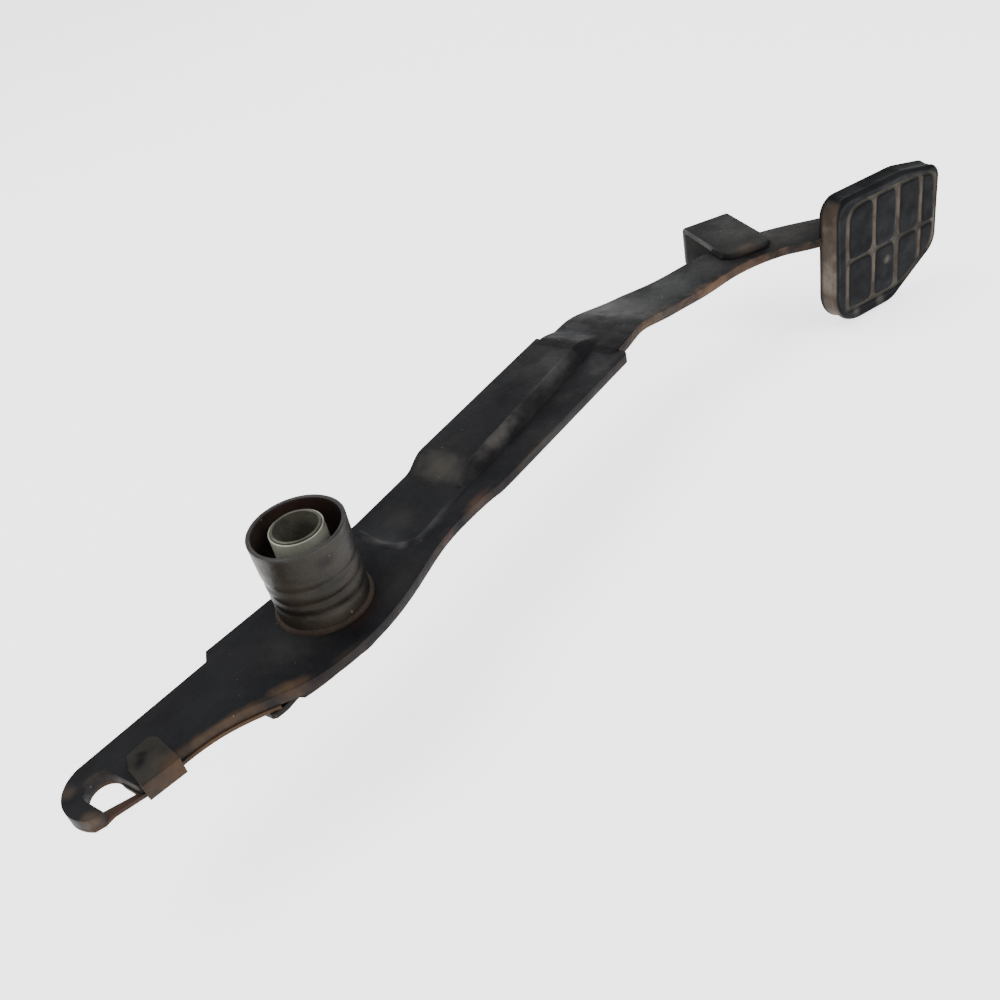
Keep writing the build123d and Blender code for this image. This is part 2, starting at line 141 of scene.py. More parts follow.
def gridFaces(rows, cols, wrapRows, wrapCols):
    # quads between neighbouring points of a grid, wrapped where the surface closes on itself
    r = np.arange(rows if wrapRows else rows - 1)
    c = np.arange(cols if wrapCols else cols - 1)
    r, c = np.meshgrid(r, c, indexing="ij")
    r1, c1 = (r + 1) % rows, (c + 1) % cols
    quads = np.stack([r * cols + c, r * cols + c1, r1 * cols + c1, r1 * cols + c], -1)
    return quads.reshape(-1, 4)


weldUp = {"merge": 2e-6, "sliver": 1e-7}  # metres


def tidyMesh(piece, sharpDegrees=40.0):
    # poles and seams are merged, faces turned outwards and shaded smooth
    work = bmesh.new()
    work.from_mesh(piece.data)
    bmesh.ops.remove_doubles(work, verts=work.verts, dist=weldUp["merge"])
    bmesh.ops.dissolve_degenerate(work, edges=work.edges, dist=weldUp["sliver"])
    bmesh.ops.recalc_face_normals(work, faces=work.faces)
    work.to_mesh(piece.data)
    work.free()
    piece.data.shade_smooth()
    piece.data.set_sharp_from_angle(angle=math.radians(sharpDegrees))
    return piece


def waves(x, seed, slowest, count, loud=1.0):
    # a smooth uneven curve: a sum of sines with seeded phases, each faster and quieter
    draw = np.random.default_rng(seed)
    rate = slowest * (1.0 + np.arange(count) * 0.83)
    phase = draw.uniform(0, 2 * np.pi, count)
    part = np.sin(x[..., None] * rate + phase) / (1.0 + np.arange(count)) ** 0.7
    return loud * part.sum(-1) / np.sqrt(count)


def finish(piece, node, body, paint):
    # the piece gets its one material and its body, and its CAD node is hidden
    piece.data.materials.clear()
    piece.data.materials.append(paint["material"])
    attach(piece, body)
    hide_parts(node)


def newMaterial(name):
    # a material with its node tree and its main shader
    material = bpy.data.materials.new(name)
    material.use_nodes = True
    tree = material.node_tree
    return {"material": material, "tree": tree, "shader": tree.nodes["Principled BSDF"]}


def add(tree, kind, inputs, **settings):
    # a node with its settings; an input given a socket is linked, any other is set
    made = tree.nodes.new("ShaderNode" + kind)
    for key, value in settings.items():
        setattr(made, key, value)
    for key, value in inputs.items():
        if isinstance(value, bpy.types.NodeSocket):
            tree.links.new(value, made.inputs[key])
        else:
            made.inputs[key].default_value = value
    return made


def coords(tree):
    # the piece's own coordinates and the way its surface faces
    return add(tree, "TexCoord", {})


def noise(tree, where, scale, detail=6.0, rough=0.55, warp=0.0):
    # cloudy noise, about 0.5 on average, with scale lumps to the metre
    made = add(tree, "TexNoise", {"Vector": where, "Scale": scale, "Detail": detail,
                                  "Roughness": rough, "Distortion": warp})
    return made.outputs["Fac"]


def stretch(tree, where, scale, turn=(0, 0, 0)):
    # coordinates turned and scaled along each axis, so that noise on them runs in lines
    made = add(tree, "Mapping", {"Vector": where, "Scale": scale, "Rotation": turn})
    return made.outputs["Vector"]


def span(tree, value, low, high, toLow=0.0, toHigh=1.0):
    # toLow where value is low, toHigh where it is high, easing between them
    made = add(tree, "MapRange", {"Value": value, "From Min": low, "From Max": high,
                                  "To Min": toLow, "To Max": toHigh}, interpolation_type="SMOOTHSTEP")
    return made.outputs["Result"]


def math2(tree, operation, a, b=0.0):
    # one sum, product or other operation on two values
    made = add(tree, "Math", {0: a, 1: b}, operation=operation)
    return made.outputs[0]


def blend(tree, share, a, b):
    # colour a, turning to b as share goes from 0 to 1
    made = tree.nodes.new("ShaderNodeMix")
    made.data_type = "RGBA"
    for index, value in ((0, share), (6, a), (7, b)):
        if isinstance(value, bpy.types.NodeSocket):
            tree.links.new(value, made.inputs[index])
        else:
            made.inputs[index].default_value = (*value, 1) if index else value
    return made.outputs[2]


def spot(tree, where, place, reach, squeeze, turnDegrees):
    # 1 at a place on the piece, falling to 0 at reach, stretched along a turned line
    # and with its edge broken up by noise
    moved = add(tree, "VectorMath", {0: where, 1: Vector(place) * mm}, operation="SUBTRACT")
    back = -math.radians(turnDegrees)
    turned = add(tree, "VectorRotate", {"Vector": moved.outputs[0], "Angle": back},
                 rotation_type="Z_AXIS")
    sized = add(tree, "VectorMath", {0: turned.outputs[0], 1: squeeze}, operation="MULTIPLY")
    far = add(tree, "VectorMath", {0: sized.outputs[0]}, operation="LENGTH").outputs["Value"]
    ragged = math2(tree, "MULTIPLY", noise(tree, where, 220.0, 5.0), reach * mm * 0.9)
    far = math2(tree, "ADD", far, ragged)
    return span(tree, far, reach * mm * 1.55, reach * mm * 0.5)


def wornSteel(name, look):
    # paint or bare steel with blotches, dust, scratches, rust on its cut edges and marks in set places,
    # some of them rust and dirt and some of them painted highlights and painted shade
    paint = newMaterial(name)
    tree, shader = paint["tree"], paint["shader"]
    at = coords(tree)
    where, facing = at.outputs["Object"], at.outputs["Normal"]
    parts = add(tree, "SeparateXYZ", {"Vector": facing})
    blotch = span(tree, noise(tree, where, look["blotchScale"], 7.0, 0.6, 0.4), 0.35, 0.68)
    colour = blend(tree, blotch, look["dark"], look["light"])
    grain = noise(tree, where, 900.0, 4.0, 0.7)
    speck = span(tree, grain, 0.52, 0.74)
    colour = blend(tree, math2(tree, "MULTIPLY", speck, look["speck"]), colour, look["dust"])
    lie = look["lie"]
    hair = noise(tree, stretch(tree, where, lie, (0, 0, look["lieTurn"])), 9.0, 8.0, 0.75, 0.2)
    hair = span(tree, hair, 0.58, 0.72)
    colour = blend(tree, math2(tree, "MULTIPLY", hair, look["hair"]), colour, look["light"])
    upward = span(tree, parts.outputs["Z"], 0.2, 0.95)
    film = span(tree, noise(tree, where, 22.0, 6.0, 0.65, 0.6), 0.42, 0.75)
    film = math2(tree, "MULTIPLY", math2(tree, "MULTIPLY", film, upward), look["film"])
    colour = blend(tree, film, colour, look["dust"])
    side = math2(tree, "ABSOLUTE", parts.outputs["Z"])
    side = span(tree, side, 0.75, 0.2)
    worn = span(tree, noise(tree, where, look["rustScale"], 8.0, 0.65, 0.5), 0.36, 0.62)
    cut = math2(tree, "MULTIPLY", math2(tree, "MULTIPLY", side, worn), look["cutRust"])
    cloud = span(tree, noise(tree, where, 160.0, 6.0), 0.35, 0.7)
    rust = blend(tree, cloud, look["rust"], look["rustLight"])
    colour = blend(tree, cut, colour, rust)
    for place, reach, squeeze, turn, tint, strength in look["marks"]:
        mark = math2(tree, "MULTIPLY", spot(tree, where, place, reach, squeeze, turn), strength)
        colour = blend(tree, mark, colour, tint)
    chip = span(tree, noise(tree, where, 520.0, 2.0, 0.5), 0.755, 0.775)
    colour = blend(tree, math2(tree, "MULTIPLY", chip, look["chips"]), colour, look["chip"])
    tree.links.new(colour, shader.inputs["Base Color"])
    low, high = look["rough"]
    rough = span(tree, noise(tree, where, 70.0, 6.0, 0.6), 0.3, 0.7, low, high)
    rough = math2(tree, "ADD", rough, math2(tree, "MULTIPLY", cut, 0.2))
    tree.links.new(rough, shader.inputs["Roughness"])
    shader.inputs["Metallic"].default_value = look["metal"]
    shader.inputs["Specular IOR Level"].default_value = look["gloss"]
    peel = noise(tree, where, look["peelScale"], 5.0, 0.6)
    height = math2(tree, "ADD", math2(tree, "MULTIPLY", peel, 0.6), math2(tree, "MULTIPLY", worn, 0.35))
    height = math2(tree, "SUBTRACT", height, math2(tree, "MULTIPLY", chip, 0.5))
    bump = add(tree, "Bump", {"Height": height, "Strength": look["bump"], "Distance": look["bumpDepth"]})
    tree.links.new(bump.outputs["Normal"], shader.inputs["Normal"])
    return paint


steelTones = {
    "dust": (0.022, 0.0205, 0.018),
    "rust": (0.030, 0.015, 0.009),
    "rustLight": (0.085, 0.046, 0.026),
    "chip": (0.16, 0.15, 0.135),
    "gloss": 0.07,
    "metal": 0.0,
    "rough": (0.42, 0.62),
    "film": 0.3,
    "speck": 0.3,
    "hair": 0.25,
    "chips": 0.6,
    "cutRust": 0.6,
    "blotchScale": 45.0,
    "rustScale": 60.0,
    "peelScale": 420.0,
    "bump": 0.35,
    "bumpDepth": 0.0006,
    "lie": (30, 260, 260),
    "lieTurn": 0.2,
    "marks": [],
}
paints = {}
paints["lever"] = wornSteel("leverPaint", {
    **steelTones, "dark": (0.0044, 0.0047, 0.0058), "light": (0.0080, 0.0085, 0.0100),
    "cutRust": 0.18, "film": 0.14,
    "marks": [
        # place, reach, squeeze, turn, colour, strength
        # painted sheen: a light grey patch on the joggle ramp, where the tilted face catches the light
        ((75, 3, 2), 10.0, (1.1, 0.7, 1), 0, (0.046, 0.042, 0.036), 0.75),
        ((-56, -7, -1), 3.2, (0.16, 1, 0.6), -23, (0.062, 0.038, 0.022), 0.85),
        ((-36, -16, -1), 3.6, (0.4, 1, 0.6), -36, (0.066, 0.040, 0.024), 0.85),
        ((-16, -24.5, -1), 2.4, (0.25, 1, 0.6), -12, (0.034, 0.026, 0.020), 0.4),
        ((-100, 6, -1), 4.5, (1, 1, 1), 0, (0.066, 0.045, 0.030), 0.7),
        ((-97, 21, -1), 4.0, (1, 1, 1), 40, (0.058, 0.044, 0.032), 0.6),
        ((-90, 17, 0), 3.0, (0.6, 1, 1), -20, (0.044, 0.034, 0.030), 0.6),
        ((64, -21, -1), 3.2, (0.3, 1, 0.7), 2, (0.060, 0.034, 0.024), 0.7),
        ((44, -20.5, -2), 2.6, (0.5, 1, 1), 10, (0.050, 0.024, 0.020), 0.8),
        ((102, -25, -1), 1.8, (0.1, 1, 1), -2, (0.030, 0.024, 0.018), 0.7),
        ((0, -18, 0), 6.0, (0.5, 1, 1), 0, (0.020, 0.012, 0.010), 0.6),
        # painted highlight: light streaks along the pressed rib's crest, from the hub's side towards the
        # ramp
        ((31.4, -1, 0), 2.0, (1, 0.2, 1), 5, (0.040, 0.039, 0.038), 0.85),
        ((33.2, -9.0, 0), 2.4, (0.7, 1, 1), -50, (0.050, 0.048, 0.045), 0.85),
        ((47, -13, 0), 2.2, (0.14, 1, 1), 1, (0.034, 0.034, 0.034), 0.8),
        ((120, -10.5, 0), 1.8, (0.08, 1, 1), 2, (0.0035, 0.0036, 0.0042), 0.8),
        ((-16, -4, 0), 15.0, (0.7, 1, 1), 0, (0.018, 0.018, 0.018), 0.75),
        # painted shade: dark patches over the raised half and the flat half's far end
        ((136, 4, 4), 20.0, (0.45, 1, 1), 0, (0.0030, 0.0032, 0.0040), 0.75),
        ((132, -18, 0), 9.0, (0.25, 1, 1), 0, (0.0030, 0.0032, 0.0040), 0.75),
        ((45, 2, 0), 12.0, (1, 1, 1), 0, (0.017, 0.017, 0.017), 0.7),
        ((18, -20, 0), 8.0, (0.5, 1, 1), 12, (0.016, 0.016, 0.016), 0.6),
    ],
})
paints["doubler"] = wornSteel("doublerPaint", {
    **steelTones, "dark": (0.011, 0.0105, 0.0085), "light": (0.021, 0.020, 0.016), "cutRust": 0.6,
    "marks": [
        ((-77, 2, 1), 6.0, (1, 1, 1), 0, (0.028, 0.026, 0.021), 0.4),
        ((-78, -3.5, -2), 4.0, (0.8, 1, 0.6), -13, (0.046, 0.026, 0.017), 0.6),
        ((-79.2, 6.4, 1.5), 2.3, (0.55, 1, 1), 35, (0.002, 0.002, 0.002), 1.0),
        ((-77.0, 8.4, 1.5), 1.7, (0.6, 1, 1), -50, (0.002, 0.002, 0.002), 1.0),
        ((-58, -9, -5), 16.0, (0.4, 1, 1), 0, (0.060, 0.034, 0.019), 0.95),
        ((-91, 4, -5), 9.0, (0.7, 1, 1), 0, (0.040, 0.021, 0.015), 0.85),
        ((-98, 3, -5), 2.5, (1, 1, 1), 0, (0.008, 0.006, 0.005), 0.8),
    ],
})
paints["rear"] = wornSteel("rearPaint", {
    **steelTones, "dark": (0.004, 0.004, 0.0034), "light": (0.009, 0.0086, 0.0072), "cutRust": 0.2,
})
paints["neck"] = wornSteel("neckPaint", {
    **steelTones, "dark": (0.0034, 0.0036, 0.0044), "light": (0.0072, 0.0075, 0.0082),
    "cutRust": 0.85, "film": 0.12, "rust": (0.032, 0.019, 0.013), "rustLight": (0.10, 0.060, 0.038),
    "marks": [
        # painted sheen: a light grey patch on the neck's ramp, then painted light in fainter grey patches
        # along the bar's top towards the bracket
        ((216, -4, -1), 17.0, (1, 0.55, 1), 0, (0.052, 0.053, 0.052), 0.9),
        ((236, -18, -4), 17.0, (0.7, 1, 1), -30, (0.030, 0.031, 0.031), 0.8),
        ((262, -28, -4), 15.0, (0.7, 1, 1), -40, (0.022, 0.023, 0.022), 0.8),
        ((300, -48, -4), 18.0, (0.6, 1, 1), -45, (0.024, 0.022, 0.020), 0.8),
        ((250, -37, -7), 4.5, (0.18, 1, 0.7), -25, (0.12, 0.068, 0.042), 0.75),
        ((272, -45, -7), 4.0, (0.2, 1, 0.7), -38, (0.080, 0.044, 0.028), 0.6),
        ((209, -21.5, -6), 4.0, (0.25, 1, 0.7), 0, (0.062, 0.042, 0.030), 0.6),
    ],
})
paints["bracket"] = wornSteel("bracketPaint", {
    **steelTones, "dark": (0.0085, 0.0088, 0.0088), "light": (0.0150, 0.0154, 0.0152), "cutRust": 0.1,
    "marks": [
        ((277, -38, -1), 5.0, (0.6, 1, 1), -36, (0.048, 0.032, 0.025), 0.7),
        # painted shade: a dark patch over the bracket's low end
        ((300, -7, -16), 14.0, (1, 1, 1), 0, (0.003, 0.003, 0.0032), 0.9),
    ],
})
paints["backing"] = wornSteel("backingPaint", {
    **steelTones, "dark": (0.006, 0.006, 0.006), "light": (0.013, 0.0125, 0.0115), "cutRust": 0.25,
})
paints["hub"] = wornSteel("hubPaint", {
    **steelTones, "dark": (0.0085, 0.0074, 0.0056), "light": (0.0195, 0.0166, 0.0125), "cutRust": 0.12,
    "rust": (0.020, 0.010, 0.008), "rustLight": (0.050, 0.032, 0.024), "blotchScale": 70.0,
    "lie": (60, 60, 500), "rough": (0.32, 0.5), "gloss": 0.14,
    "marks": [
        ((5, 4, 29), 20.0, (1, 1, 0.6), 0, (0.038, 0.018, 0.015), 0.8),
        # painted shade: a dark band down the side of the tube that faces away from the light
        ((15, -12, 14), 18.0, (1, 1, 0.35), 0, (0.0048, 0.0048, 0.0046), 0.95),
        ((-10, -13, 3), 6.0, (0.4, 0.4, 1), 0, (0.046, 0.038, 0.029), 0.8),
        ((-5, -16, 27), 3.4, (0.6, 0.6, 1), 0, (0.003, 0.003, 0.003), 0.85),
        ((0, 0, 33), 1.3, (0.04, 0.04, 1), 0, (0.040, 0.040, 0.041), 0.85),
        ((-14, -9, 17), 7.0, (1, 1, 0.6), 0, (0.034, 0.026, 0.018), 0.5),
    ],
})
paints["weld"] = wornSteel("weldSteel", {
    **steelTones, "dark": (0.0042, 0.0044, 0.0052), "light": (0.0110, 0.0112, 0.0120), "cutRust": 0.1,
    "blotchScale": 90.0, "peelScale": 500.0, "bump": 0.35,
    "marks": [
        ((99, -8.8, 2.0), 3.0, (0.15, 0.9, 0.5), 2, (0.066, 0.060, 0.056), 0.9),
        ((145, -7.2, 2.2), 3.0, (0.14, 0.9, 0.5), 2, (0.042, 0.041, 0.040), 0.9),
        # painted shade: a small dark spot at the slit's start, where its gap shows dark
        ((84, -10.6, 1), 1.2, (0.25, 1, 0.6), 3, (0.0022, 0.0022, 0.0026), 0.8),
    ],
})
paints["hubWeld"] = wornSteel("hubWeldSteel", {
    **steelTones, "dark": (0.023, 0.0165, 0.0130), "light": (0.038, 0.0275, 0.0205), "cutRust": 0.2,
    "peelScale": 700.0, "bump": 0.7,
})
paints["sleeve"] = wornSteel("sleeveSteel", {
    **steelTones, "dark": (0.055, 0.054, 0.042), "light": (0.13, 0.13, 0.105), "cutRust": 0.15,
    "rough": (0.22, 0.4), "metal": 0.3, "lie": (500, 500, 40), "film": 0.2,
})
paints["nylon"] = wornSteel("nylonFinish", {
    **steelTones, "dark": (0.20, 0.205, 0.17), "light": (0.36, 0.37, 0.30), "cutRust": 0.1,
    "rust": (0.08, 0.065, 0.05), "rustLight": (0.16, 0.14, 0.11), "rough": (0.3, 0.5),
    "dust": (0.12, 0.11, 0.085), "bump": 0.15, "gloss": 0.45,
    "marks": [
        ((6, -8, 32), 2.0, (0.5, 1, 1), 30, (0.05, 0.045, 0.035), 0.8),
    ],
})
print("materials of the steel and nylon made")


sheets = {
    # node: edge radius in mm, slot, paint
    "lever_plate": (0.45, "black_paint", "lever"),
    "hook_doubler": (0.3, "black_paint", "doubler"),
    "rear_plate": (0.5, "black_paint", "rear"),
    "neck_bar": (0.9, "black_paint", "neck"),
    "stop_bracket": (0.9, "black_paint", "bracket"),
    "pad_plate": (0.4, "black_paint", "backing"),
    "front_bush": (0.35, "nylon", "nylon"),
    "rear_bush": (0.35, "nylon", "nylon"),
    "pivot_sleeve": (0.2, "sleeve_steel", "sleeve"),
}


roundLook = {"segments": 3, "cornerDegrees": 38, "flatDegrees": 0.8}


def softened(node, radius):
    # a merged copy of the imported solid, its corners rounded by a bevel
    piece = bpy.data.objects.new(node + "Soft", frame["nodes"][node].data.copy())
    bpy.context.scene.collection.objects.link(piece)
    work = bmesh.new()
    work.from_mesh(piece.data)
    bmesh.ops.remove_doubles(work, verts=work.verts, dist=weldUp["merge"])
    flat = math.radians(roundLook["flatDegrees"])
    bmesh.ops.dissolve_limit(work, angle_limit=flat, verts=work.verts, edges=work.edges)
    work.to_mesh(piece.data)
    work.free()
    piece.data.shade_smooth()
    bevel = piece.modifiers.new("round", "BEVEL")
    bevel.width = radius * mm
    bevel.segments = roundLook["segments"]
    bevel.limit_method = "ANGLE"
    bevel.angle_limit = math.radians(roundLook["cornerDegrees"])
    bevel.harden_normals = True
    return piece


for node, (radius, slot, paint) in sheets.items():
    piece = softened(node, radius)
    body = "sleeve" if node == "pivot_sleeve" else "lever"
    finish(piece, node, body, paints[paint])
print("sheet steel, bushes and sleeve placed")


hubLook = {
    "wall": 1.6, "flare": 0.7, "round": 0.5,
    "grooves": (7.5, 12.7, 17.9), "grooveDepth": 0.7, "grooveWidth": 1.5, "grooveWander": 0.6,
    "flareFrom": 0.7, "scuff": 0.06, "around": 300, "along": 150,
}


def hubTube(look):
    # a ring surface: a wall section, open end rounded, turned about Z, its outside waved and grooved
    low, high = (np.array(c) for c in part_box("hub_tube"))
    mouth = high[0]
    foot = mouth - look["flare"] * mm
    length = high[2] - low[2]
    n = look["along"]
    t = np.linspace(0, 1, n)
    outZ = low[2] + length * t
    outR = np.where(outZ < 0, foot, foot + (mouth - foot) * np.clip(outZ / high[2], 0, 1))
    r = look["round"] * mm
    outR = outR - r * (1 - np.sqrt(np.clip(1 - ((outZ - high[2] + r) / r).clip(0, 1) ** 2, 0, 1)))
    inZ = outZ[::-1]
    opening = np.clip((inZ / high[2] - look["flareFrom"]) / (1 - look["flareFrom"]), 0, 1)
    inR = foot - look["wall"] * mm + (mouth - foot) * opening
    inR = inR + r * (1 - np.sqrt(np.clip(1 - ((inZ - high[2] + r) / r).clip(0, 1) ** 2, 0, 1)))
    z = np.concatenate([outZ, inZ])
    radius = np.concatenate([outR, inR])
    outside = np.concatenate([np.ones(n), np.zeros(n)])
    angle = np.linspace(0, 2 * np.pi, look["around"], endpoint=False)
    a, z2 = np.meshgrid(angle, z, indexing="ij")
    cut = np.zeros_like(a)
    for i, height in enumerate(look["grooves"]):
        middle = height * mm + look["grooveWander"] * mm * waves(a, 31 + i, 1.0, 1)
        deep = 0.75 + 0.25 * np.sin(a * 2 + i)
        cut += deep * np.exp(-(((z2 - middle) / (look["grooveWidth"] * mm)) ** 2))
    rough = look["scuff"] * mm * waves(a, 5, 2.0, 3) * np.sin(z2 * 900)
    radial = radius[None, :] - outside[None, :] * (look["grooveDepth"] * mm * cut + np.abs(rough))
    points = np.stack([radial * np.cos(a), radial * np.sin(a), z2], -1)
    return tidyMesh(putMesh("hubTubeWorn", points, gridFaces(len(angle), len(z), True, True)))


finish(hubTube(hubLook), "hub_tube", "lever", paints["hub"])
print("hub placed")


def weldBead(name, path, across, up, look):
    # a rounded section carried along a path, swelling with each ripple and closing at both ends
    n, m = look["along"], look["around"]
    s = np.linspace(0, 1, n)
    u = np.linspace(0, 2 * np.pi, m, endpoint=False)
    closed = look["ring"]
    ends = np.ones(n) if closed else np.clip(1 - np.abs(2 * s - 1) ** look["endPower"], 0, 1) ** 0.5
    ripple = np.abs(np.sin(np.pi * s * look["ripples"] + 0.4 * waves(s, look["seed"], 9.0, 3)))
    swell = 1 - look["rippleDepth"] * (1 - ripple ** 0.6)
    uneven = 1 + look["uneven"] * waves(s, look["seed"] + 1, 14.0, 5)
    if closed:
        fade = np.clip(np.minimum(s, 1 - s) / 0.04, 0, 1)
        uneven = 1 + (uneven - 1) * fade
        swell = 1 + (swell - 1) * fade
    side = look["width"] * mm / 2 * (ends * (1 + (uneven - 1) * 0.8))
    tall = look["height"] * mm * ends * swell * uneven
    x = side[:, None] * np.cos(u)[None, :]
    rise = np.where(np.sin(u) > 0, np.abs(np.sin(u)) ** 0.85, -0.16 * np.abs(np.sin(u)))
    y = tall[:, None] * rise[None, :]
    points = path(s)[:, None, :] + x[..., None] * across(s)[:, None, :] + y[..., None] * up(s)[:, None, :]
    return tidyMesh(putMesh(name, points, gridFaces(n, m, closed, True)), 60)


def straight(a, b):
    # a line from a to b as s goes from 0 to 1
    a, b = np.array(a, float), np.array(b, float)
    return lambda s: a + (b - a) * s[:, None]


def steady(direction):
    # the same unit direction all along
    unit = np.array(direction, float)
    unit = unit / np.linalg.norm(unit)
    return lambda s: np.tile(unit, (len(s), 1))


def ringPath(radius, z):
    # once round the axis as s goes from 0 to 1
    def place(s):
        # s as a share of the turn
        turn = 2 * np.pi * s
        return np.stack([radius * np.cos(turn), radius * np.sin(turn), np.full(len(s), z)], -1)
    return place


def ringOut(lift):
    # outward from the axis, leaning by lift
    def direction(s):
        # s as a share of the turn
        turn = 2 * np.pi * s
        raw = np.stack([np.cos(turn), np.sin(turn), np.full(len(s), lift)], -1)
        return raw / np.linalg.norm(raw, axis=1)[:, None]
    return direction


def strip(name, points, depth):
    # a surface over a grid of points, closed by a flat underside and by both ends shut onto their middle
    under = points[:, [-1, 0]] - np.array((0, 0, depth * mm))
    points = np.concatenate([points, under], 1)
    across = points.shape[1]
    first, last = (row[None].mean(1, keepdims=True).repeat(across, 1) for row in (points[0], points[-1]))
    points = np.concatenate([first, points, last])
    return tidyMesh(putMesh(name, points, gridFaces(*points.shape[:2], False, True)), 60)


def ease(t):
    # from 0 to 1 with flat ends
    t = np.clip(t, 0, 1)
    return t * t * (3 - 2 * t)


seamLook = {
    "start": 69.0, "end": 168.5, "wall": 4.2, "rampStart": 67.0, "rampEnd": 80.0, "rise": 4.5,
    "width": 4.8, "endWidth": 1.6, "over": 1.5, "lump": 0.2, "proud": 0.10, "depth": 0.9,
    "steep": 1.12, "crest": 0.22, "edgeDrop": 0.12, "toeDrop": 0.06,
    "endSink": 0.5, "endFrom": 8.0, "endOver": 6.0, "along": 640, "across": 44,
}


def seamFillet(look):
    # along the slit, from the top of the raised half down to the flat half, lumpy where it was rubbed
    low, high = (np.array(c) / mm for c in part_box("seam_weld"))
    x = np.linspace(look["start"], look["end"], look["along"])
    edge = low[1] + look["wall"] + (high[1] - low[1] - look["wall"]) * (x - low[0]) / (high[0] - low[0])
    top = look["rise"] * ease((x - look["rampStart"]) / (look["rampEnd"] - look["rampStart"]))
    share = (x - x[0]) / (x[-1] - x[0])
    ends = np.where(share < 0.5, np.clip(1 - np.abs(2 * share - 1) ** 10, 0, 1), 1.0)
    width = look["endWidth"] + (look["width"] - look["endWidth"]) * ends ** 0.6
    width = width * (1 + 0.10 * waves(x * 0.11, 4, 1.0, 4))
    over = look["over"] * (0.3 + 0.7 * ends) * (1 + 0.15 * waves(x * 0.15, 12, 1.0, 4))
    t = np.linspace(0, 1, look["across"])[None, :]
    y = edge[:, None] + over[:, None] - (width + over)[:, None] * t
    fall = 1 - ease(t * look["steep"] - look["crest"])
    z = top[:, None] * fall + look["proud"] * np.sin(np.pi * t) ** 0.5
    slow = waves(x[:, None] * 0.42 + t * 2.2, 7, 1.0, 5)
    quick = waves(x[:, None] * 1.3 - t * 3.0, 9, 1.0, 4)
    lumps = slow * 0.6 + quick * 0.4
    z = z + look["lump"] * lumps * np.sin(np.pi * t) ** 2 * (0.35 + 0.65 * ends[:, None])
    z = z - look["endSink"] * ease((x[:, None] - look["end"] + look["endFrom"]) / look["endOver"])
    z[:, 0] -= look["edgeDrop"]
    z[:, -1] = -look["toeDrop"]
    x2 = np.repeat(x[:, None], y.shape[1], 1)
    return strip("seamWeldFillet", np.stack([x2, y, z], -1) * mm, look["depth"])


finish(seamFillet(seamLook), "seam_weld", "lever", paints["weld"])

endLook = {"back": 4.5, "front": 2.0, "past": 0.4, "farSide": 1.0, "onBar": 5.0, "proud": 0.18,
           "lump": 0.05, "endDrop": 0.05, "depth": 0.5, "along": 80, "across": 80}


def endFillet(look):
    # from the raised half's end down to the bar, its near side sloped as the seam weld is
    low, high = (np.array(c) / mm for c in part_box("end_weld"))
    barTop, raised = low[2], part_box("lever_plate")[1][2] / mm
    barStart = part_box("neck_weld")[0][0] / mm
    top = high[1] + look["past"]
    t, u = np.meshgrid(np.linspace(0, 1, look["along"]), np.linspace(0, 1, look["across"]), indexing="ij")
    x = low[0] - look["back"] + (high[0] + look["front"] - low[0] + look["back"]) * t
    y = top + (low[1] - seamLook["width"] - top) * u
    across = (low[1] + seamLook["over"] - y) / (seamLook["width"] + seamLook["over"])
    side = (1 - ease(across * seamLook["steep"] - seamLook["crest"])) * ease((top - y) / look["farSide"])
    base = barTop * ease((x - barStart) / look["onBar"])
    z = base + (raised - base) * (1 - ease((x - low[0]) / (high[0] - low[0]))) * side
    dome = np.clip(np.sin(np.pi * u), 0, 1) ** 0.4 * np.clip(np.sin(np.pi * t), 0, 1) ** 0.4
    z = z + look["proud"] * dome
    z = z + look["lump"] * waves(x * 0.5 + y * 0.3, 15, 1.0, 4) * side * np.sin(np.pi * t)
    z[[0, -1]] -= look["endDrop"]
    return strip("endWeldFillet", np.stack([x, y, z], -1) * mm, look["depth"])


finish(endFillet(endLook), "end_weld", "lever", paints["lever"])

ringLook = {"along": 480, "around": 24, "width": 2.4, "height": 0.65, "inset": 2.7, "lift": 0.45,
            "ripples": 34, "rippleDepth": 0.3, "uneven": 0.12, "seed": 3, "ring": True}
for node, lift in (("hub_weld_front", 0.75), ("hub_weld_rear", -0.75)):
    low, high = (np.array(c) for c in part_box(node))
    base = low[2] if lift > 0 else high[2]
    middle = high[0] - ringLook["inset"] * mm
    height = base + math.copysign(ringLook["lift"] * mm, lift)
    seed = ringLook["seed"] + (lift < 0)
    ring = weldBead(node + "Bead", ringPath(middle, height), ringOut(-1 / lift), ringOut(lift),
                    {**ringLook, "seed": seed})
    finish(ring, node, "lever", paints["hubWeld"])

neckLook = {"back": 2.4, "front": 1.6, "past": 1.2, "riseFrom": 0.15, "riseOver": 0.6,
            "proud": 0.06, "sunk": 0.04, "depth": 0.7, "along": 60, "across": 24}


def neckFillet(look):
    # a low dressed weld from the flat half's top up to the bar's
    low, high = (np.array(c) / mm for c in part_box("neck_weld"))
    u, t = np.meshgrid(np.linspace(0, 1, look["along"]), np.linspace(0, 1, look["across"]), indexing="ij")
    x = low[0] - look["back"] + (high[0] + look["front"] - low[0] + look["back"]) * t
    y = low[1] + (high[1] + look["past"] - low[1]) * u
    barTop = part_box("end_weld")[0][2] / mm
    lumps = 1 + waves(y * 0.7 + t, 22, 1.0, 4)
    rise = barTop * ease((t - look["riseFrom"]) / look["riseOver"])
    z = rise + look["proud"] * lumps * np.sin(np.pi * t)
    z[:, 0] = -look["sunk"]
    z[:, -1] = barTop - look["sunk"]
    return strip("neckWeldFillet", np.stack([x, y, z], -1) * mm, look["depth"])


finish(neckFillet(neckLook), "neck_weld", "lever", paints["neck"])


def joined(pieces, name):
    # several beads made one mesh
    work = bmesh.new()
    for piece in pieces:
        work.from_mesh(piece.data)
        bpy.data.objects.remove(piece)
    mesh = bpy.data.meshes.new(name)
    work.to_mesh(mesh)
    work.free()
    whole = bpy.data.objects.new(name, mesh)
    bpy.context.scene.collection.objects.link(whole)
    return whole


